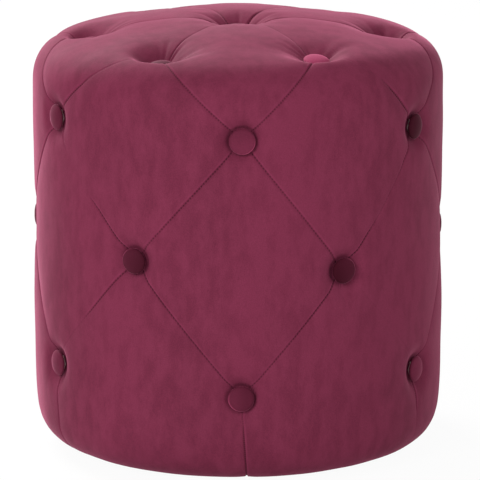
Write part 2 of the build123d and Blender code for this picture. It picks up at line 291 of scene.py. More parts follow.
def finish_piece(piece, slot, material, *nodes):
    """Join a finished piece to the frame: its body, the CAD nodes it stands for and its finish."""
    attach(piece, "root")
    if nodes:
        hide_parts(*nodes)
    piece.data.materials.clear()
    piece.data.materials.append(material)


def turned(profile, steps):
    """A closed body turned about the middle from points of radius and height."""
    shape = bmesh.new()
    verts = [shape.verts.new((x, 0, z)) for x, z in profile]
    line = [*verts, verts[0]] if profile[0][0] > 0 else verts
    edges = [shape.edges.new(pair) for pair in zip(line, line[1:])]
    bmesh.ops.spin(
        shape, geom=verts + edges, cent=(0, 0, 0), axis=(0, 0, 1), angle=2 * pi, steps=steps, use_merge=True
    )
    bmesh.ops.remove_doubles(shape, verts=shape.verts, dist=1e-6)
    open_edges = [edge for edge in shape.edges if edge.is_boundary]
    if open_edges:
        bmesh.ops.contextual_create(shape, geom=open_edges)
    bmesh.ops.recalc_face_normals(shape, faces=shape.faces)
    return shape


def add_body(together, single):
    """Add a finished body to the others of its piece."""
    copy = write_mesh(single, bpy.data.meshes.new("copy"))
    together.from_mesh(copy)
    bpy.data.meshes.remove(copy)


# Materials

def opaque(shade, tint=(1, 1, 1)):
    """A colour for a socket, each channel times a tint and at most 1."""
    return (*[min(1.0, value * share) for value, share in zip(shade, tint)], 1)


def set_inputs(tree, node, inputs):
    """Give a node's inputs their values, or link them to the outputs of other nodes."""
    for name, value in inputs.items():
        if isinstance(value, bpy.types.NodeSocket):
            tree.links.new(value, node.inputs[name])
        else:
            node.inputs[name].default_value = value


def add_node(tree, kind, inputs=None, **settings):
    """The outputs of a new shader node."""
    node = tree.nodes.new("ShaderNode" + kind)
    for name, value in settings.items():
        setattr(node, name, value)
    set_inputs(tree, node, inputs or {})
    return node.outputs


def add_math(tree, operation, *values):
    return add_node(tree, "Math", dict(enumerate(values)), operation=operation)["Value"]


def add_mix(tree, share, first, second, blend="MIX"):
    """A share of the way from one colour to another."""
    inputs = {"Factor": share, "A": first, "B": second}
    return add_node(tree, "Mix", inputs, data_type="RGBA", blend_type=blend)["Result"]


def add_noise(tree, where, scale, detail, roughness=0.5, distortion=0.0):
    inputs = {"Vector": where, "Scale": scale, "Detail": detail}
    inputs.update({"Roughness": roughness, "Distortion": distortion})
    return add_node(tree, "TexNoise", inputs)["Fac"]


def add_range(tree, value, low, high, start=0.0, end=1.0):
    """A value that runs from low to high while another runs from its start to its end."""
    inputs = {"Value": value, "From Min": start, "From Max": end, "To Min": low, "To Max": high}
    return add_node(tree, "MapRange", inputs)["Result"]


def add_ramp(tree, value, *stops):
    """A ramp between two greys, each with its position and grey."""
    ramp = tree.nodes.new("ShaderNodeValToRGB")
    for element, (position, grey) in zip(ramp.color_ramp.elements, stops):
        element.position = position
        element.color = (grey, grey, grey, 1)
    set_inputs(tree, ramp, {"Fac": value})
    return ramp.outputs["Color"]


def new_group(name, inputs, outputs):
    """A shader node group with its sockets, what its inputs give, and its output node."""
    group = bpy.data.node_groups.new(name, "ShaderNodeTree")
    for title, kind, default in inputs:
        socket = group.interface.new_socket(title, in_out="INPUT", socket_type="NodeSocket" + kind)
        if default is not None:
            socket.default_value = default
    for title, kind in outputs:
        group.interface.new_socket(title, in_out="OUTPUT", socket_type="NodeSocket" + kind)
    return group, group.nodes.new("NodeGroupInput").outputs, group.nodes.new("NodeGroupOutput")


def velvet_nap(name):
    """Pile and brush marks of velvet: a colour, a roughness and a height."""
    group, given, result = new_group(
        name,
        [
            ("Vector", "Vector", None),
            ("Color", "Color", (0.2, 0.03, 0.06, 1)),
            ("Brushed Color", "Color", (0.25, 0.04, 0.08, 1)),
            ("Brush Scale", "Float", 7.0),
            ("Pile Scale", "Float", 900.0),
        ],
        [("Color", "Color"), ("Roughness", "Float"), ("Height", "Float")],
    )
    stretch = add_node(group, "Mapping", {"Vector": given["Vector"], "Scale": (1.0, 1.0, 0.45)})["Vector"]
    brush = add_noise(group, stretch, given["Brush Scale"], detail=5.0, roughness=0.55, distortion=0.6)
    strokes = add_noise(group, stretch, 75.0, detail=4.0, roughness=0.6)
    pile = add_noise(group, given["Vector"], given["Pile Scale"], detail=2.0, roughness=0.6)
    brush_ramp = add_ramp(group, brush, (0.36, 0.0), (0.66, 0.7))
    stroke_ramp = add_ramp(group, strokes, (0.38, 0.0), (0.64, 0.75))
    pile_ramp = add_ramp(group, pile, (0.3, 0.62), (0.7, 1.0))
    both = add_math(group, "ADD", stroke_ramp, brush_ramp)
    brushed = add_mix(group, both, given["Color"], given["Brushed Color"])
    mottled = add_mix(group, 0.5, brushed, pile_ramp, "MULTIPLY")
    rough = add_range(group, brush_ramp, 0.72, 0.95)
    set_inputs(group, result, {"Color": mottled, "Roughness": rough, "Height": pile})
    return group


def wood_grain(name):
    """Lengthwise grain with growth rings, for boards and posts: a shade and a height."""
    group, given, result = new_group(
        name,
        [("Vector", "Vector", None), ("Scale", "Float", 14.0)],
        [("Shade", "Float"), ("Height", "Float")],
    )
    stretch = add_node(group, "Mapping", {"Vector": given["Vector"], "Scale": (1.0, 7.0, 0.6)})["Vector"]
    rings = add_noise(group, stretch, given["Scale"], detail=6.0, roughness=0.6, distortion=1.2)
    fibre = add_noise(group, stretch, 380.0, detail=3.0)
    set_inputs(group, result, {"Shade": add_range(group, rings, 0.0, 1.0, 0.3, 0.7), "Height": fibre})
    return group


def fine_speckle(name):
    """Fine irregular grain, for foam, cloth, plastic and metal: a shade and a height."""
    group, given, result = new_group(
        name,
        [("Vector", "Vector", None), ("Stretch", "Vector", (1.0, 1.0, 1.0)), ("Scale", "Float", 300.0)],
        [("Shade", "Float"), ("Height", "Float")],
    )
    both = {0: given["Vector"], 1: given["Stretch"]}
    stretch = add_node(group, "VectorMath", both, operation="MULTIPLY")["Vector"]
    cells = add_node(group, "TexVoronoi", {"Vector": stretch, "Scale": given["Scale"]})["Distance"]
    set_inputs(group, result, {"Shade": add_noise(group, stretch, 40.0, detail=5.0), "Height": cells})
    return group


SURFACES = {"velvet nap": velvet_nap, "wood grain": wood_grain, "fine speckle": fine_speckle}


def new_material(name):
    """A material with nodes, its node tree and its shader."""
    material = bpy.data.materials.new(name)
    material.use_nodes = True
    return material, material.node_tree, material.node_tree.nodes["Principled BSDF"]


def surfaced_material(name, surface, inputs, strength, distance):
    """A material with a shared surface group on Object coordinates, whose height gives its bump."""
    material, tree, shader = new_material(name)
    group = bpy.data.node_groups.get(surface) or SURFACES[surface](surface)
    where = add_node(tree, "TexCoord")["Object"]
    found = add_node(tree, "Group", {"Vector": where, **inputs}, node_tree=group)
    bump = {"Strength": strength, "Distance": distance, "Height": found["Height"]}
    set_inputs(tree, shader, {"Normal": add_node(tree, "Bump", bump)["Normal"]})
    return material, tree, shader, found


def velvet(name, base, brushed, sheen):
    """Short-pile velvet. The colour of its nap is still to be joined to the shader."""
    inputs = {"Color": opaque(base), "Brushed Color": opaque(brushed)}
    material, tree, shader, nap = surfaced_material(name, "velvet nap", inputs, 0.25, 0.0004)
    finish = {"Sheen Weight": 0.4, "Sheen Roughness": 0.3, "Sheen Tint": opaque(sheen)}
    set_inputs(tree, shader, {"Roughness": nap["Roughness"], "Specular IOR Level": 0.1, **finish})
    return material, tree, shader, nap["Color"]


# The length of a stitch and the least that shows of it, and how strong and what tint the painted highlight on
# the pleats' lips and the painted shade in their creases are
STITCH = 0.0032
STITCH_LEAST = 0.15
LIP_HIGHLIGHT_SHARE = 0.2
LIP_HIGHLIGHT_TINT = (2.4, 3.0, 2.8)
CREASE_SHADE_TINT = (0.16, 0.1, 0.12)


def cover_velvet(colours):
    """The cover's velvet: painted highlights on the pleats' lips, painted shade in their creases broken into
    stitch ticks, and painted shade rings round the side buttons.
    """
    base = colours.velvet
    material, tree, shader, nap = velvet("dusty plum velvet", base, colours.velvet_brushed, colours.sheen)
    names = ("lip", "crease", "run", "button_ring_shade")
    lip, crease, run, button_ring_shade = [add_node(tree, "Attribute", attribute_name=name)["Fac"] for name in names]
    # Painted highlight on the upper lips of the pleats
    lighter = add_mix(tree, add_math(tree, "MULTIPLY", lip, LIP_HIGHLIGHT_SHARE), nap, opaque(base, LIP_HIGHLIGHT_TINT))
    # Painted shade in the pleats' creases, broken into the ticks of their stitches, and painted shade round
    # the side buttons
    wave = add_math(tree, "SINE", add_math(tree, "MULTIPLY", run, 2 * pi / STITCH))
    ticks = add_range(tree, wave, STITCH_LEAST, 1.0, -1.0, 1.0)
    painted_shade_share = add_math(tree, "MAXIMUM", add_math(tree, "MULTIPLY", crease, ticks), button_ring_shade)
    set_inputs(tree, shader, {"Base Color": add_mix(tree, painted_shade_share, lighter, opaque(base, CREASE_SHADE_TINT))})
    return material


# How much lighter a button's velvet is where its nap is brushed
BUTTON_BRUSHED = 1.25


def button_velvet(colours):
    """The buttons' velvet, mixed from a painted shaded copy to a painted lit copy by each button's painted
    light.
    """
    brushed = opaque(colours.button, [BUTTON_BRUSHED] * 3)[:3]
    material, tree, shader, nap = velvet("button velvet", colours.button, brushed, colours.sheen)
    # The "nap" attribute holds painted light: 0 for the painted shaded copy, 1 for the painted lit copy,
    # higher on lit rims
    lit_share = add_node(tree, "Attribute", attribute_name="nap")["Fac"]
    set_inputs(tree, shader, {"Base Color": add_mix(tree, lit_share, opaque(colours.button_painted_shade), nap)})
    return material


# Woods: how dark their grain is, how coarse, and how rough they are
WOODS = {
    "birch plywood": {"dark": 0.72, "scale": 10.0, "roughness": 0.62},
    "brown hardboard": {"dark": 0.8, "scale": 45.0, "roughness": 0.5},
    "sawn softwood": {"dark": 0.68, "scale": 16.0, "roughness": 0.7},
}


def wood_material(name, base):
    """Wood whose grain is darker than its face."""
    wood = WOODS[name]
    inputs = {"Scale": wood["scale"]}
    material, tree, shader, grain = surfaced_material(name, "wood grain", inputs, 0.3, 0.0003)
    face = add_mix(tree, grain["Shade"], opaque(base, [wood["dark"]] * 3), opaque(base))
    set_inputs(tree, shader, {"Base Color": face, "Roughness": wood["roughness"]})
    return material


# Speckled finishes: how fine their grain is, how rough they are, and where they differ from the plain one
PLAIN_SPECKLE = {"metallic": 0.0, "depth": 0.0002, "stretch": (1, 1, 1), "contrast": 0.7}
SPECKLES = {
    "upholstery foam": {"scale": 420.0, "roughness": 0.9, "depth": 0.0006, "contrast": 0.86},
    "non-woven dust cloth": {"scale": 900.0, "roughness": 0.85, "contrast": 0.6},
    "plain steel": {"scale": 500.0, "roughness": 0.38, "metallic": 1.0, "stretch": (1, 6, 1)},
    "zinc-plated steel": {"scale": 650.0, "roughness": 0.35, "metallic": 1.0},
    "black glide plastic": {"scale": 700.0, "roughness": 0.45, "depth": 0.0001},
    "moulded nylon": {"scale": 800.0, "roughness": 0.5, "depth": 0.0001},
    "waxed twine": {"scale": 1400.0, "roughness": 0.7, "stretch": (1, 1, 4)},
}
# How much lighter the light specks are, and how far the roughness falls and rises with the specks
SPECK_LIGHT = 1.15
SPECK_SMOOTHER = 0.1
SPECK_ROUGHER = 0.08


def speckled_material(name, base):
    """Foam, cloth, plastic or metal with a fine irregular grain."""
    speckle = {**PLAIN_SPECKLE, **SPECKLES[name]}
    inputs = {"Scale": speckle["scale"], "Stretch": speckle["stretch"]}
    material, tree, shader, specks = surfaced_material(name, "fine speckle", inputs, 0.4, speckle["depth"])
    shade, roughness = specks["Shade"], speckle["roughness"]
    face = add_mix(tree, shade, opaque(base, [speckle["contrast"]] * 3), opaque(base, [SPECK_LIGHT] * 3))
    rough = add_range(tree, shade, roughness - SPECK_SMOOTHER, roughness + SPECK_ROUGHER)
    set_inputs(tree, shader, {"Base Color": face, "Roughness": rough, "Metallic": speckle["metallic"]})
    return material


# The velvet cover

ROWS = ("foot", "lower", "middle", "upper", "ring", "centre")
PLEATS = {
    ("foot", "lower"): "foot",
    ("lower", "middle"): "side",
    ("middle", "upper"): "side",
    ("upper", "ring"): "rim",
    ("ring", "centre"): "crown",
}
# Pleats that fade along a part of their run from the lower button to the upper one: the part's start and
# end as shares of the run, and how much of the pleat is left there
FAINT = {
    (("middle", 11), ("upper", 10)): (0.42, 0.84, 0.0),
    (("lower", 10), ("middle", 11)): (0.1, 0.5, 0.15),
    (("middle", 1), ("upper", 2)): (0.3, 0.75, 0.3),
    (("lower", 2), ("middle", 1)): (0.12, 1.0, 0.06),
    (("upper", 10), ("ring", 11)): (0.45, 1.0, 0.2),
    (("upper", 2), ("ring", 1)): (0.45, 1.0, 0.12),
    (("foot", 2), ("lower", 2)): (0.0, 0.62, 0.05),
    (("foot", 0), ("lower", 0)): (0.72, 1.0, 0.35),
    (("lower", 2), ("middle", 3)): (0.12, 0.88, 0.3),
}
# Half the share of a run over which such a pleat fades
FADE_RUN = 0.06
# How much of the other pleats shows, and how that varies along them
PLEAT_SHOWS = 0.86
PLEAT_VARIES = 0.14
# The crown's pleats fade by a share in the middle of their run, and the foot's fade out downwards
CROWN_FADE = 0.75
CROWN_FADE_IN = (0.15, 0.42)
CROWN_FADE_OUT = (0.62, 0.8)
FOOT_FADE = (0.0, 0.3)

# Steps across a pad, steps up a pad at the foot, and how far the steps draw towards the pleats
GRID = 31
FOOT_GRID = 18
EDGE_PULL = 0.72
# Width and height of the pads, and how far from a pleat they roll down to it
SPANS = {"side": (0.158, 0.158), "rim": (0.15, 0.15), "crown": (0.14, 0.14), "foot": (0.105, 0.2)}
ROLLS = {"side": 0.017, "rim": 0.02, "crown": 0.03, "foot": 0.014}
ON_PLEAT = 1e-5
# Length that the stitches of one pleat are counted on
PLEAT_RUN = 0.16
# Hollows: room round a button, floor and reach, and how much further up the ring's hollows reach
BUTTON_ROOM = 0.0006
SIDE_REACH = 0.03
RING_FLOOR = 0.0105
RING_REACH = 0.04
RING_REACH_UP = 0.016
CENTRE_FLOOR = 0.012
CENTRE_REACH = 0.05
# The shoulder: its place past the rim, its width, what is left of it at the back, and where it turns
SHOULDER_RISE = 0.004
SHOULDER_WIDTH = 0.024
BACK_SHARE = 0.25
FRONT_TURN = (0.2, 0.7)
# The pads' swell: how fast it rises off a pleat and off the foot and shoulder, how far off a faded pleat
# counts as being, and the depth of a tuft that leaves none
SWELL_RISE = 0.016
SWELL_EDGE = 0.05
FADED_GAP = 0.02
TUFT_FLATTENS = 0.004
# How far round a button the cover is held
HELD_ROOM = 0.004
# How close the edge points of two pads lie that are joined
WELD = 0.00005
SEWN = "sewn"


def drawn_to_edges(share):
    """Even steps across a pad, closer together near its pleats."""
    return share - EDGE_PULL * sin(2 * pi * share) / (2 * pi)


def pleat_shows(pleat, share):
    """How much of a pleat shows at a share of its run."""
    (row, column), (_, next_column) = pleat
    if pleat in FAINT:
        start, end, left = FAINT[pleat]
        gone = eased(start - FADE_RUN, start + FADE_RUN, share)
        gone *= 1 - eased(end - FADE_RUN, end + FADE_RUN, share)
        return 1 - (1 - left) * gone
    shows = PLEAT_SHOWS + PLEAT_VARIES * sin(2.1 * column + 3.7 * next_column + 5 * share)
    if row == "ring":
        shows *= 1 - CROWN_FADE * eased(*CROWN_FADE_IN, share) * (1 - eased(*CROWN_FADE_OUT, share))
    if row == "foot":
        shows *= eased(*FOOT_FADE, share)
    return shows


class Pad:
    """One pad of the cover between four buttons, or between two buttons and the foot."""

    def __init__(self, tufting, kind, *corners):
        self.corners = [tufting.place(*corner) for corner in corners]
        self.width, self.height = SPANS[kind]
        self.up_grid = FOOT_GRID if kind == "foot" else GRID
        self.end = tufting.outline.crown_end
        self.to_middle = kind == "crown"
        if self.to_middle:
            self.corners[2] = (self.corners[0][0], self.end)
        names = [(row, column % COLUMNS) for row, column in corners]
        pairs = ((names[0], names[3]), (names[1], names[2]), (names[0], names[1]), (names[3], names[2]))
        self.sides = [self.side(*pair) for pair in pairs]

    @staticmethod
    def side(first, second):
        """The pleat along a side of the pad, and whether the pad counts its run from the upper end."""
        is_turned = ROWS.index(first[0]) > ROWS.index(second[0])
        pleat = (second, first) if is_turned else (first, second)
        kind = PLEATS.get((pleat[0][0], pleat[1][0]))
        return (kind, pleat, is_turned) if kind else None

    def across(self, u, v):
        """Angle and station at a share across and a share up the pad."""
        if self.to_middle:
            return self.over_crown(u, v)
        weights = ((1 - u) * (1 - v), u * (1 - v), u * v, (1 - u) * v)
        angle = sum(weight * corner[0] for weight, corner in zip(weights, self.corners))
        station = sum(weight * corner[1] for weight, corner in zip(weights, self.corners))
        return angle, station

    def over_crown(self, u, v):
        """As across, on a pad whose far sides run straight to the middle of the crown."""

        def flat(angle, station):
            return Vector((sin(angle), -cos(angle))) * (self.end - station)

        near, right, _, left = self.corners
        right_flat = flat(*right)
        left_flat = flat(*left)
        low_side = flat(near[0] + (right[0] - near[0]) * u, near[1] + (right[1] - near[1]) * u)
        left_side = flat(near[0] + (left[0] - near[0]) * v, near[1] + (left[1] - near[1]) * v)
        sides = low_side * (1 - v) + left_flat * (1 - u) * v + left_side * (1 - u) + right_flat * (1 - v) * u
        ends = flat(*near) * (1 - u) * (1 - v) + right_flat * u * (1 - v) + left_flat * (1 - u) * v
        spot = sides - ends
        angle = atan2(spot.x, -spot.y) if spot.length > 1e-6 else near[0]
        return angle, self.end - spot.length

    def off_seams(self, u, gap):
        """0 on a side that joins the next pad without a pleat, and 1 on a pleat, which lies a gap away."""
        seams = [share * self.width for side, share in zip(self.sides, (u, 1 - u)) if not side]
        return min(seams) / (min(seams) + gap + 1e-9) if seams else 1.0

    def pleats(self, u, v):
        """The pad's pleats: kind, gap to it, how much shows, share of its run and the pad's side of it."""
        gaps = (u * self.width, (1 - u) * self.width, v * self.height, (1 - v) * self.height)
        found = []
        for number, (side, gap) in enumerate(zip(self.sides, gaps)):
            if side:
                kind, pleat, is_turned = side
                share = v if number < 2 else u
                share = 1 - share if is_turned else share
                found.append((kind, gap, pleat_shows(pleat, share), share, 1.0 if number in (0, 2) else -1.0))
        return found


def all_pads(tufting):
    """Every pad: on the side, over the rim, on the crown and down to the foot."""
    pads = []
    for even in range(0, COLUMNS, 2):
        odd = even + 1
        foot, low, high = ("foot", even), ("lower", even), ("upper", even)
        left, right = ("middle", odd - 2), ("middle", odd)
        left_ring, right_ring = ("ring", odd - 2), ("ring", odd)
        pads += [
            Pad(tufting, "side", low, right, high, left),
            Pad(tufting, "rim", right, ("upper", odd + 1), right_ring, high),
            Pad(tufting, "crown", high, right_ring, ("centre", 0), left_ring),
            Pad(tufting, "foot", foot, ("foot", odd), right, low),
            Pad(tufting, "foot", ("foot", odd - 2), foot, low, left),
        ]
    return pads


class Tufts:
    """How far the buttons draw the cover in at any point."""

    def __init__(self, sizes, tufting):
        self.tufting = tufting
        self.tree = KDTree(2 * COLUMNS + 1)
        self.buttons = []
        for row in BUTTON_NODES:
            for column in tufting.columns(row):
                self.tree.insert(tufting.outline.point(*tufting.place(row, column)), len(self.buttons))
                self.buttons.append((row, tufting.depth(row, column)))
        self.tree.balance()
        self.floor = sizes.button_diameter * 0.5 + BUTTON_ROOM

    def draw(self, spot, station):
        """Depth that the nearest button draws a point in, and how far off the button is."""
        _, index, distance = self.tree.find(spot)
        row, depth = self.buttons[index]
        floor, reach = self.floor, SIDE_REACH
        if row == "ring":
            up = (station - self.tufting.stations["ring"]) / max(distance, 1e-6)
            floor, reach = RING_FLOOR, RING_REACH + RING_REACH_UP * up
        if row == "centre":
            floor, reach = CENTRE_FLOOR, CENTRE_REACH
        if distance >= reach:
            return 0.0, distance
        share = max(0.0, distance - floor) / (reach - floor)
        return depth * (1 - share) ** 2, distance


def fullness_at(sizes, outline, angle, station, off_pleat):
    """How far the pads stand proud of the outline: their shoulder, and their swell on the side."""
    shoulder = outline.rim_end + SHOULDER_RISE
    towards_front = BACK_SHARE + (1 - BACK_SHARE) * eased(*FRONT_TURN, cos(angle))
    fullness = sizes.shoulder * towards_front * exp(-(((station - shoulder) / SHOULDER_WIDTH) ** 2))
    if outline.foot_end < station < shoulder:
        edge = min(station - outline.foot_end, shoulder - station)
        fullness += sizes.pad_swell * (1 - exp(-off_pleat / SWELL_RISE)) * eased(0.0, SWELL_EDGE, edge)
    return fullness


def build_pads(sizes, tufting):
    """The cover as a coarse net: pads joined on the outline, then drawn in at the pleats and buttons."""
    outline = tufting.outline
    depth_of = {kind: getattr(sizes, kind + "_pleat") for kind in ROLLS}
    tufts = Tufts(sizes, tufting)
    shape = bmesh.new()
    layers = {name: shape.verts.layers.float.new(name) for name in (SEWN, "gap", "run", "shows", "lap")}
    inward = shape.verts.layers.float_vector.new("inward")
    for pad in all_pads(tufting):
        made = bmesh.ops.create_grid(shape, x_segments=GRID, y_segments=pad.up_grid, size=0.5)["verts"]
        for vert in made:
            u = drawn_to_edges(vert.co.x + 0.5)
            v = drawn_to_edges(vert.co.y + 0.5)
            angle, station = pad.across(u, v)
            pleats = pad.pleats(u, v)
            pull = 0.0
            for kind, gap, shows, _, _ in pleats:
                if gap < ROLLS[kind]:
                    pull += (depth_of[kind] * shows * (1 - gap / ROLLS[kind]) ** 2) ** 3
            drawn, distance = tufts.draw(outline.point(angle, station), station)
            _, gap, shows, share, side = min(pleats, key=lambda pleat: pleat[1])
            off_pleat = gap + FADED_GAP * (1 - shows) * pad.off_seams(u, gap)
            fullness = fullness_at(sizes, outline, angle, station, off_pleat)
            fullness *= 1 - eased(0.0, TUFT_FLATTENS, drawn)
            depth = (pull + drawn ** 3) ** (1 / 3) - fullness
            vert.co = outline.point(angle, station)
            vert[inward] = outline.normal(angle, station) * -depth
            on_pleat = gap < ON_PLEAT
            held = on_pleat or distance < tufts.floor + HELD_ROOM or station < ON_PLEAT
            vert[layers["gap"]] = gap
            vert[layers["run"]] = share * PLEAT_RUN
            vert[layers["shows"]] = shows
            vert[layers["lap"]] = 0.0 if on_pleat else side
            vert[layers[SEWN]] = 1.0 if held else 0.0
    bmesh.ops.remove_doubles(shape, verts=shape.verts, dist=WELD)
    for vert in shape.verts:
        vert.co += vert[inward]
    shape.verts.layers.float_vector.remove(inward)
    bmesh.ops.recalc_face_normals(shape, faces=shape.faces)
    return shape


# How far the cover's closed underside lies above its hem
HEM_RISE = 0.0012


def close_underside(piece, sizes, outline):
    """Turn the velvet under the base as a hem, and close the cover above the dust cloth."""
    shape = bmesh.new()
    shape.from_mesh(piece.data)
    rim = [edge for edge in shape.edges if edge.is_boundary]
    if any(vert.co.z > outline.foot_height for edge in rim for vert in edge.verts):
        raise RuntimeError("the cover's pads don't join")
    hem_circle = outline.foot_circle - sizes.hem_width
    half_way = 0.5 * (outline.foot_circle + hem_circle)
    for reach, lift in ((half_way, 0.0), (hem_circle, 0.0), (hem_circle, HEM_RISE)):
        grown = bmesh.ops.extrude_edge_only(shape, edges=rim)["geom"]
        for vert in (item for item in grown if isinstance(item, bmesh.types.BMVert)):
            flat = Vector((vert.co.x, vert.co.y, 0)).normalized() * reach
            vert.co = Vector((flat.x, flat.y, outline.bottom + lift))
        rim = [item for item in grown if isinstance(item, bmesh.types.BMEdge)]
    bmesh.ops.contextual_create(shape, geom=rim)
    bmesh.ops.recalc_face_normals(shape, faces=shape.faces)
    write_mesh(shape, piece.data)


def read_vectors(mesh, kind):
    """A mesh's points or normals."""
    vectors = np.empty(len(mesh.vertices) * 3)
    mesh.vertices.foreach_get(kind, vectors)
    return vectors.reshape(-1, 3)


def read_values(mesh, name):
    values = np.empty(len(mesh.vertices))
    mesh.attributes[name].data.foreach_get("value", values)
    return values


CLOTH = {
    "quality": 6,
    "mass": 0.2,
    "tension_stiffness": 12,
    "compression_stiffness": 12,
    "shear_stiffness": 5,
    "bending_stiffness": 0.6,
    "use_pressure": True,
    "uniform_pressure_force": 4,
    "vertex_group_mass": SEWN,
}
CLOTH_STEPS = 20
# The most that a point of the cover may move
CLOTH_CAP = 0.003


def inflate(piece):
    """Blow the pads up with cloth simulation, held at the pleats and buttons, and keep the result."""
    held = np.flatnonzero(read_values(piece.data, SEWN) > 0.5)
    group = piece.vertex_groups.new(name=SEWN)
    group.add(held.tolist(), 1.0, "REPLACE")
    rest = read_vectors(piece.data, "co")
    cloth = piece.modifiers.new("inflate", "CLOTH")
    for name, value in CLOTH.items():
        setattr(cloth.settings, name, value)
    cloth.settings.effector_weights.gravity = 0
    cloth.collision_settings.use_collision = False
    cloth.point_cache.frame_start = 1
    cloth.point_cache.frame_end = CLOTH_STEPS
    scene = bpy.context.scene
    for step in range(1, CLOTH_STEPS + 1):
        scene.frame_set(step)
    posed = piece.evaluated_get(bpy.context.evaluated_depsgraph_get())
    moves = read_vectors(posed.data, "co") - rest
    piece.modifiers.remove(cloth)
    piece.vertex_groups.clear()
    scene.frame_set(1)
    reach = np.linalg.norm(moves, axis=1, keepdims=True)
    moves *= CLOTH_CAP * np.tanh(reach / CLOTH_CAP) / np.maximum(reach, 1e-9)
    piece.data.vertices.foreach_set("co", (rest + moves).ravel())
    piece.data.update()


def crease_pleats(mesh):
    """Keep the pleats sharp when the net is subdivided."""
    on_pleat = read_values(mesh, "gap") < ON_PLEAT
    ends = np.empty(len(mesh.edges) * 2, dtype=np.int32)
    mesh.edges.foreach_get("vertices", ends)
    sharp = on_pleat[ends.reshape(-1, 2)].all(axis=1)
    crease = mesh.attributes.new("crease_edge", "FLOAT", "EDGE")
    crease.data.foreach_set("value", sharp.astype(float))


def subdivide(piece):
    """Apply one subdivision to a piece."""
    modifier = piece.modifiers.new("subdivide", "SUBSURF")
    modifier.levels = 1
    modifier.render_levels = 1
    graph = bpy.context.evaluated_depsgraph_get()
    posed = piece.evaluated_get(graph)
    mesh = bpy.data.meshes.new_from_object(posed, preserve_all_data_layers=True, depsgraph=graph)
    piece.modifiers.clear()
    piece.data = mesh


# Folds round a button of the ring: angle from the right-hand side, half-width and depth
RING_FOLDS = (
    (1.36, 0.07, 0.0013),
    (1.83, 0.06, 0.0016),
    (2.06, 0.06, 0.0015),
    (2.38, 0.08, 0.0013),
    (0.74, 0.09, 0.003),
    (0.36, 0.12, 0.0048),
)
# Half-width and depth of the folds round the other buttons
CENTRE_FOLD = (0.07, 0.0014)
SIDE_FOLD = (0.16, 0.00025)
# Where the folds start and are full, and how far out they run
FOLD_START = 0.012
FOLD_FULL = 0.004
CROWN_FOLDS_REACH = 0.055
SIDE_FOLDS_REACH = 0.03
FOLD_HEIGHT = 0.03
# The crease along a pleat: its width, the width of its line of painted shade, and its lip's place, width and
# rise
CREASE_WIDTH = 0.0011
CREASE_SHADE_WIDTH = 0.0006
LIP_GAP = 0.0014
LIP_WIDTH = 0.0009
LIP_RISE = 0.3
# Unevenness of the padding under the velvet: its height and how many bumps there are to a metre
UNEVEN = 0.0006
UNEVEN_SCALE = 24
# Painted shade ring round a side button: its room round the button, its width, its share and how that varies
SHADE_RING_ROOM = 0.0012
SHADE_RING_WIDTH = 0.0012
SHADE_RING_SHARE = 0.38
SHADE_RING_VARIES = 0.2


def button_folds(row, number):
    """Where small folds run out from a button: angle from the right-hand side, half-width and depth."""
    if row == "ring":
        sway = 0.12 * sin(4.3 * number)
        return [(turn + sway, width, depth) for turn, width, depth in RING_FOLDS]
    if row == "centre":
        return [(pi / 6 + step * pi / 6 + 0.06 * sin(5 * step), *CENTRE_FOLD) for step in range(12)]
    return [(1.1 + 1.3 * step + 0.4 * sin(7.0 * number + step), *SIDE_FOLD) for step in range(5)]


def bell(values, width):
    return np.exp(-((values / width) ** 2))


def sew_details(piece, sizes, tufting):
    """Press a crease along each pleat, lap its upper side over it and gather folds round each button."""
    mesh = piece.data
    points = read_vectors(mesh, "co")
    normals = read_vectors(mesh, "normal")
    gap = read_values(mesh, "gap")
    shows = read_values(mesh, "shows")
    upper = np.maximum(read_values(mesh, "lap"), 0)
    lip = shows * upper * bell(gap - LIP_GAP, LIP_WIDTH)
    depth = sizes.crease_depth * shows * bell(gap, CREASE_WIDTH) - sizes.crease_depth * LIP_RISE * lip
    depth += [UNEVEN * noise.noise(Vector(point) * UNEVEN_SCALE) for point in points]
    button_ring_shade = np.zeros(len(points))
    shade_ring_radius = sizes.button_diameter / 2 + SHADE_RING_ROOM
    for row in BUTTON_NODES:
        reach = CROWN_FOLDS_REACH if row in ON_CROWN else SIDE_FOLDS_REACH
        for number, (column, seat, normal) in enumerate(tufting.seats(row)):
            across, up = facing(normal)
            away = points - np.array(seat)
            x = away @ np.array(across)
            y = away @ np.array(up)
            distance = np.hypot(x, y)
            near = (distance < reach) & (np.abs(away @ np.array(normal)) < FOLD_HEIGHT)
            distance = distance[near]
            turn = np.arctan2(y[near], x[near])
            fade = np.clip((distance - FOLD_START) / FOLD_FULL, 0, 1) * (1 - distance / reach)
            for where, width, deep in button_folds(row, number):
                off = (turn - where + pi) % (2 * pi) - pi
                depth[near] += deep * fade * bell(off, width)
            # A ring of painted shade round each side button, darker on the side away from its painted
            # highlight
            if row not in ON_CROWN:
                share = SHADE_RING_SHARE - SHADE_RING_VARIES * np.cos(turn - button_painted_light(row, column)[1])
                button_ring_shade[near] = share * bell(distance - shade_ring_radius, SHADE_RING_WIDTH)
    points -= normals * depth[:, None]
    mesh.vertices.foreach_set("co", points.ravel())
    # Masks for painted shade along the creases, painted highlights on the lips and painted shade round the
    # side buttons
    crease = shows * bell(gap, CREASE_SHADE_WIDTH)
    for name, values in (("crease", crease), ("lip", lip), ("button_ring_shade", button_ring_shade)):
        mesh.attributes.new(name, "FLOAT", "POINT").data.foreach_set("value", values)
    mesh.update()


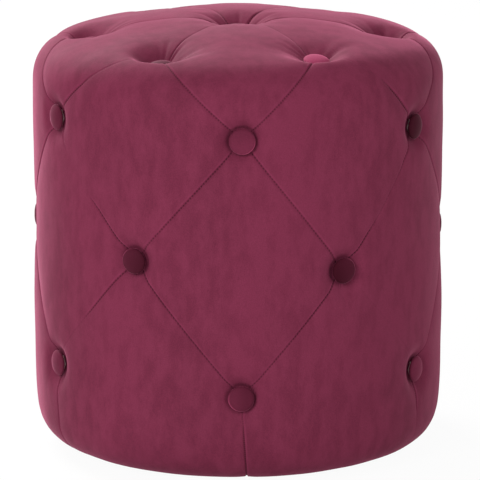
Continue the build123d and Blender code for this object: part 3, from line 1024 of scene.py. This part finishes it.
class POUF_OT_cover(bpy.types.Operator):
    """Sew the tufted velvet cover and blow up its pads"""

    bl_idname = "pouf.cover"
    bl_label = "Velvet cover"

    def execute(self, context):
        sizes = context.scene.pouf_sizes
        tufting = Tufting(sizes, Outline(sizes))
        piece = new_piece("velvet_cover", build_pads(sizes, tufting))
        inflate(piece)
        crease_pleats(piece.data)
        subdivide(piece)
        sew_details(piece, sizes, tufting)
        close_underside(piece, sizes, tufting.outline)
        finish_piece(piece, "velvet", cover_velvet(context.scene.pouf_colours), "cover")
        return {"FINISHED"}


# A button's profile from the top of its dome to behind its rim, as shares of its radius and height
BUTTON_PROFILE = (
    (0.0, 1.0),
    (0.35, 0.965),
    (0.62, 0.87),
    (0.82, 0.71),
    (0.89, 0.61),
    (0.94, 0.52),
    (1.0, 0.32),
    (0.985, 0.14),
    (0.9, 0.0),
    (0.6, -0.1),
)
# Where a button's lit rim starts and is full, and how much lighter the rim and the lit side of the face are
LIT_RIM = (0.89, 0.94)
RIM_LIGHT = 0.45
FACE_LIGHT = 0.05
# How far each button is turned from the one before
BUTTON_TURN = 1.9
TURNED_STEPS = 40


class POUF_OT_buttons(bpy.types.Operator):
    """Set the covered buttons in their tufts"""

    bl_idname = "pouf.buttons"
    bl_label = "Covered buttons"

    def paint_button_light(self, single, seat, normal, lit_share, lit, half):
        """Write the painted light over one button: its share, a little more on the lit side of the face, and
        a painted highlight on the lit rim.
        """
        # The "nap" layer holds the button's painted light
        nap = single.verts.layers.float.new("nap")
        across, up = facing(normal)
        for vert in single.verts:
            away = vert.co - seat
            x, y = away.dot(across), away.dot(up)
            out = hypot(x, y) / half
            towards = cos(atan2(y, x) - lit)
            rim = eased(*LIT_RIM, out) * max(0.0, towards) ** 2
            vert[nap] = lit_share + FACE_LIGHT * out * towards + RIM_LIGHT * rim

    def execute(self, context):
        sizes = context.scene.pouf_sizes
        tufting = Tufting(sizes, Outline(sizes))
        finish = button_velvet(context.scene.pouf_colours)
        half = sizes.button_diameter / 2
        profile = [(half * out, sizes.button_height * up) for out, up in BUTTON_PROFILE]
        for row, node in BUTTON_NODES.items():
            together = bmesh.new()
            for number, (column, seat, normal) in enumerate(tufting.seats(row)):
                single = turned(profile, TURNED_STEPS)
                lean = Vector((0, 0, 1)).rotation_difference(normal).to_matrix().to_4x4()
                spin = Matrix.Rotation(number * BUTTON_TURN, 4, "Z")
                place = Matrix.Translation(seat + normal * sizes.button_back) @ lean @ spin
                bmesh.ops.transform(single, matrix=place, verts=single.verts)
                self.paint_button_light(single, seat, normal, *button_painted_light(row, column), half)
                add_body(together, single)
            piece = new_piece(node + "_covered", together)
            finish_piece(piece, "button_velvet", finish, node)
        return {"FINISHED"}


# The seat pad's rounded upper edge and its small lower one
PAD_SOFT = 0.026
PAD_EDGE = 0.004
PAD_STEPS = 96
# The side wrap: its room off the panels, its lower edges, and how deep its flat side reaches
WRAP_ROOM = 0.0004
WRAP_INNER_EDGE = (0.004, 0.002)
WRAP_OUTER_EDGE = (0.004, 0.024)
WRAP_OUTER_RISE = 0.03
WRAP_FLAT = 0.005
WRAP_STEPS = 144


class POUF_OT_foam(bpy.types.Operator):
    """Lay the foam pad on the top board and wrap the foam round the drum"""

    bl_idname = "pouf.foam"
    bl_label = "Foam padding"

    def seat_pad(self):
        low, high = top_foam_low.z, top_foam_high.z
        reach = top_foam_high.x
        inner = reach - PAD_SOFT
        profile = [(0, low), (reach - PAD_EDGE, low), (reach, low + PAD_EDGE), (reach, high - PAD_SOFT)]
        for share in (0.25, 0.5, 0.75):
            turn = share * pi / 2
            profile.append((inner + PAD_SOFT * cos(turn), high - PAD_SOFT + PAD_SOFT * sin(turn)))
        return turned([*profile, (inner, high), (0, high)], PAD_STEPS)

    def side_wrap(self):
        """The wrap's outside is round, and its inside lies flat on the panels."""
        low, high = side_foam_low.z, side_foam_high.z
        reach = side_foam_high.x
        flat = panel_high.x + WRAP_ROOM
        profile = [
            (flat, low + WRAP_INNER_EDGE[1]),
            (flat + WRAP_INNER_EDGE[0], low),
            (reach - WRAP_OUTER_EDGE[0], low + WRAP_OUTER_EDGE[1]),
            (reach, low + WRAP_OUTER_RISE),
            (reach, high),
            (flat, high),
        ]
        shape = turned(profile, WRAP_STEPS)
        for vert in shape.verts:
            if hypot(vert.co.x, vert.co.y) < flat + WRAP_FLAT:
                turn = (atan2(vert.co.y, vert.co.x) + pi / COLUMNS) % (2 * pi / COLUMNS) - pi / COLUMNS
                vert.co.x *= 1 / cos(turn)
                vert.co.y *= 1 / cos(turn)
        return shape

    def execute(self, context):
        shade = context.scene.pouf_colours.foam
        foam = speckled_material("upholstery foam", shade)
        shapes = {
            "top_foam_pad": ("top_foam", self.seat_pad()),
            "side_foam_wrap": ("side_foam", self.side_wrap()),
        }
        for name, (node, shape) in shapes.items():
            piece = new_piece(name, shape)
            finish_piece(piece, "foam", foam, node)
        return {"FINISHED"}


# The dust cloth's parts round and across, and the size and height of its ripples
CLOTH_ROUND = 96
CLOTH_CUTS = 9
RIPPLE_SCALE = 22
RIPPLE_HEIGHT = 0.00035
# The staples: how many, how far from the cloth's edge, their size, and how they sit
STAPLES = 40
STAPLE_INSET = 0.008
STAPLE_SIZE = (0.0012, 0.0105, 0.0007)
STAPLE_SINK = 0.0001
STAPLE_BEVEL = 0.0002
STAPLE_START = 0.03
STAPLE_LEAN = 0.25
# A glide's radius, and the steps of its rounded edge: in from its side, and up
GLIDE_RADIUS = 0.012
GLIDE_EDGE = ((0.0028, 0.0), (0.0012, 0.0004), (0.0004, 0.0013), (0.0001, 0.0026))
GLIDE_TOP_INSET = 0.0004
GLIDE_COLOUR = (0.03, 0.03, 0.03)
STEEL_COLOUR = (0.55, 0.54, 0.52)


class POUF_OT_underside(bpy.types.Operator):
    """Stretch the dust cloth under the base, staple it and fit the glides"""

    bl_idname = "pouf.underside"
    bl_label = "Underside"

    def dust_cloth(self, shade):
        """A disc of cloth with slight ripples towards its middle."""
        reach = dust_high.x
        thick = dust_high.z - dust_low.z
        shape = bmesh.new()
        bmesh.ops.create_circle(shape, cap_ends=True, cap_tris=True, segments=CLOTH_ROUND, radius=reach)
        inner = [edge for edge in shape.edges if not edge.is_boundary]
        bmesh.ops.subdivide_edges(shape, edges=inner, cuts=CLOTH_CUTS, use_grid_fill=True)
        for vert in shape.verts:
            radius = hypot(vert.co.x, vert.co.y)
            ripple = noise.noise(Vector((vert.co.x * RIPPLE_SCALE, vert.co.y * RIPPLE_SCALE, 0.5)))
            vert.co.z = dust_low.z + thick * 0.5 + RIPPLE_HEIGHT * ripple * max(0.0, 1 - radius / reach)
        bmesh.ops.triangulate(shape, faces=[face for face in shape.faces if len(face.verts) > 4])
        bmesh.ops.solidify(shape, geom=shape.faces[:], thickness=thick * 0.5)
        bmesh.ops.recalc_face_normals(shape, faces=shape.faces)
        piece = new_piece("dust_cloth", shape)
        cloth = speckled_material("non-woven dust cloth", shade)
        finish_piece(piece, "dust_fabric", cloth, "dust_cover")

    def staples(self):
        """A row of staples round the dust cloth."""
        circle = dust_high.x - STAPLE_INSET
        shape = bmesh.new()
        for number in range(STAPLES):
            turn = number * 2 * pi / STAPLES + STAPLE_START
            lean = STAPLE_LEAN * sin(number * 2.3)
            spot = (circle * cos(turn), circle * sin(turn), dust_low.z - STAPLE_SINK)
            turn_and_size = Matrix.Rotation(turn + lean, 4, "Z") @ Matrix.Diagonal((*STAPLE_SIZE, 1))
            made = bmesh.ops.create_cube(shape, size=1.0)["verts"]
            bmesh.ops.transform(shape, matrix=Matrix.Translation(spot) @ turn_and_size, verts=made)
        bmesh.ops.bevel(
            shape,
            geom=shape.edges[:],
            offset=STAPLE_BEVEL,
            affect="EDGES",
            segments=1,
            profile=0.5,
            material=-1,
        )
        steel = speckled_material("plain steel", STEEL_COLOUR)
        finish_piece(new_piece("hem_staples", shape), "nail_steel", steel)

    def glides(self):
        """Four turned plastic glides with a rounded edge."""
        profile = [(0, 0), *[(GLIDE_RADIUS - inset, up) for inset, up in GLIDE_EDGE]]
        profile += [(GLIDE_RADIUS - GLIDE_TOP_INSET, glide_high.z), (0, glide_high.z)]
        circle = (glide_high.x - GLIDE_RADIUS) * sqrt(2)
        together = bmesh.new()
        for quarter in range(4):
            turn = pi / 4 + quarter * pi / 2
            single = turned(profile, TURNED_STEPS)
            bmesh.ops.translate(single, verts=single.verts, vec=(circle * cos(turn), circle * sin(turn), 0))
            add_body(together, single)
        plastic = speckled_material("black glide plastic", GLIDE_COLOUR)
        finish_piece(new_piece("moulded_glides", together), "glide_plastic", plastic, "glides")

    def execute(self, context):
        self.dust_cloth(context.scene.pouf_colours.dust_cloth)
        self.staples()
        self.glides()
        return {"FINISHED"}


ZINC_COLOUR = (0.62, 0.6, 0.52)
NYLON_COLOUR = (0.74, 0.72, 0.66)
TWINE_COLOUR = (0.7, 0.62, 0.46)


class POUF_OT_inside(bpy.types.Operator):
    """Give the frame, cords and fasteners inside the drum their finishes"""

    bl_idname = "pouf.inside"
    bl_label = "Inside of the drum"

    def execute(self, context):
        colours = context.scene.pouf_colours
        plywood = wood_material("birch plywood", colours.plywood)
        hardboard = wood_material("brown hardboard", colours.hardboard)
        softwood = wood_material("sawn softwood", colours.softwood)
        zinc = speckled_material("zinc-plated steel", ZINC_COLOUR)
        nylon = speckled_material("moulded nylon", NYLON_COLOUR)
        twine = speckled_material("waxed twine", TWINE_COLOUR)
        finishes = {
            "top_board": plywood,
            "base_ring": plywood,
            "wall_panel_": hardboard,
            "post_": softwood,
            "top_board_screws": zinc,
            "base_ring_screws": zinc,
            "glide_nails": zinc,
            "button_backs": nylon,
            "cord_toggles": nylon,
            "tuft_cords": twine,
        }
        for name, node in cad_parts.items():
            finish = finishes.get(name.rstrip("0123456789"))
            if finish:
                node.data.materials.clear()
                node.data.materials.append(finish)
        return {"FINISHED"}


FLOOR_SIZE = 12
# How much darker the floor's cloudy patches are, and how much of it looks white
FLOOR_PATCHES = 0.985
FLOOR_WHITE = 0.95
# The world's strength where it gives light, and where it is looked at
WORLD_LIGHT = 0.4
WORLD_SEEN = 1.0
# Each lamp's place, size and power. All of them face the middle of the drum
LAMPS = {
    "key": ((-1.6, -2.6, 1.75), 1.6, 48),
    "fill": ((2.6, -2.1, 1.0), 2.2, 19),
    "overhead": ((-1.4, 2.0, 2.0), 1.4, 112),
}
LAMPS_FACE = (0, 0, 0.22)
CAMERA_PLACE = (0, -3.706, 1.0763)
CAMERA_PITCH = 0.2324
CAMERA_LENS = 288.1
CAMERA_SENSOR = 36
CAMERA_SHIFT = 0.0041


class POUF_OT_studio(bpy.types.Operator):
    """Set up the pale floor, the soft lights and the camera"""

    bl_idname = "pouf.studio"
    bl_label = "Studio"

    def looked_at(self, tree):
        """1 where a surface is seen, in a reflection or through glass too, and 0 elsewhere."""
        rays = add_node(tree, "LightPath")
        near = add_math(tree, "MAXIMUM", rays["Is Camera Ray"], rays["Is Glossy Ray"])
        return add_math(tree, "MAXIMUM", near, rays["Is Transmission Ray"])

    def backdrop(self):
        """A world that looks white and gives a softer light."""
        world = bpy.data.worlds.new("studio")
        world.use_nodes = True
        tree = world.node_tree
        strength = add_range(tree, self.looked_at(tree), WORLD_LIGHT, WORLD_SEEN)
        set_inputs(tree, tree.nodes["Background"], {"Color": (1, 1, 1, 1), "Strength": strength})
        return world

    def floor(self, shade):
        """A pale floor that looks nearly white and keeps the shadow."""
        shape = bmesh.new()
        bmesh.ops.create_grid(shape, x_segments=1, y_segments=1, size=FLOOR_SIZE)
        piece = new_piece("studio_floor", shape)
        material, tree, shader = new_material("studio floor")
        cloud = add_noise(tree, add_node(tree, "TexCoord")["Object"], 3.0, detail=4.0)
        face = add_mix(tree, cloud, opaque(shade, [FLOOR_PATCHES] * 3), opaque(shade))
        set_inputs(tree, shader, {"Base Color": face, "Roughness": 0.8})
        white = add_node(tree, "Emission")["Emission"]
        share = add_math(tree, "MULTIPLY", self.looked_at(tree), FLOOR_WHITE)
        blend = add_node(tree, "MixShader", {"Fac": share, 1: shader.outputs["BSDF"], 2: white})["Shader"]
        set_inputs(tree, tree.nodes["Material Output"], {"Surface": blend})
        piece.data.materials.append(material)

    def lamp(self, name, place, size, energy):
        data = bpy.data.lights.new(name, "AREA")
        data.shape = "DISK"
        data.size = size
        data.energy = energy
        light = new_object(name, data)
        light.location = place
        light.rotation_euler = (Vector(LAMPS_FACE) - Vector(place)).to_track_quat("-Z", "Y").to_euler()

    def camera(self):
        """The photograph's view: far away, looking down a little through a long lens."""
        data = bpy.data.cameras.new("photo_camera")
        data.sensor_width = CAMERA_SENSOR
        data.lens = CAMERA_LENS
        data.shift_x = CAMERA_SHIFT
        view = new_object("photo_camera", data)
        view.location = CAMERA_PLACE
        view.rotation_euler = (pi / 2 - CAMERA_PITCH, 0, 0)
        bpy.context.scene.camera = view

    def execute(self, context):
        scene = context.scene
        self.floor(scene.pouf_colours.floor)
        for name, (place, size, energy) in LAMPS.items():
            self.lamp(name, place, size, energy)
        scene.world = self.backdrop()
        scene.view_settings.view_transform = "Standard"
        self.camera()
        return {"FINISHED"}


class POUF_PT_panel(bpy.types.Panel):
    """Pouf tools in the 3D view's sidebar"""

    bl_idname = "POUF_PT_panel"
    bl_label = "Tufted pouf"
    bl_space_type = "VIEW_3D"
    bl_region_type = "UI"
    bl_category = "Pouf"

    def draw(self, context):
        for operator in OPERATORS:
            self.layout.operator(operator.bl_idname)
        for group in (context.scene.pouf_sizes, context.scene.pouf_colours):
            for name in group.__annotations__:
                self.layout.prop(group, name)


OPERATORS = (
    POUF_OT_cover,
    POUF_OT_buttons,
    POUF_OT_foam,
    POUF_OT_underside,
    POUF_OT_inside,
    POUF_OT_studio,
)
CLASSES = (PoufSizes, PoufColours, *OPERATORS, POUF_PT_panel)


def register():
    for kind in CLASSES:
        bpy.utils.register_class(kind)
    bpy.types.Scene.pouf_sizes = bpy.props.PointerProperty(type=PoufSizes)
    bpy.types.Scene.pouf_colours = bpy.props.PointerProperty(type=PoufColours)


def unregister():
    del bpy.types.Scene.pouf_colours
    del bpy.types.Scene.pouf_sizes
    for kind in reversed(CLASSES):
        bpy.utils.unregister_class(kind)


def main():
    register()
    bpy.ops.pouf.cover()
    bpy.ops.pouf.buttons()
    bpy.ops.pouf.foam()
    bpy.ops.pouf.underside()
    bpy.ops.pouf.inside()
    bpy.ops.pouf.studio()


if __name__ == "__main__":
    main()
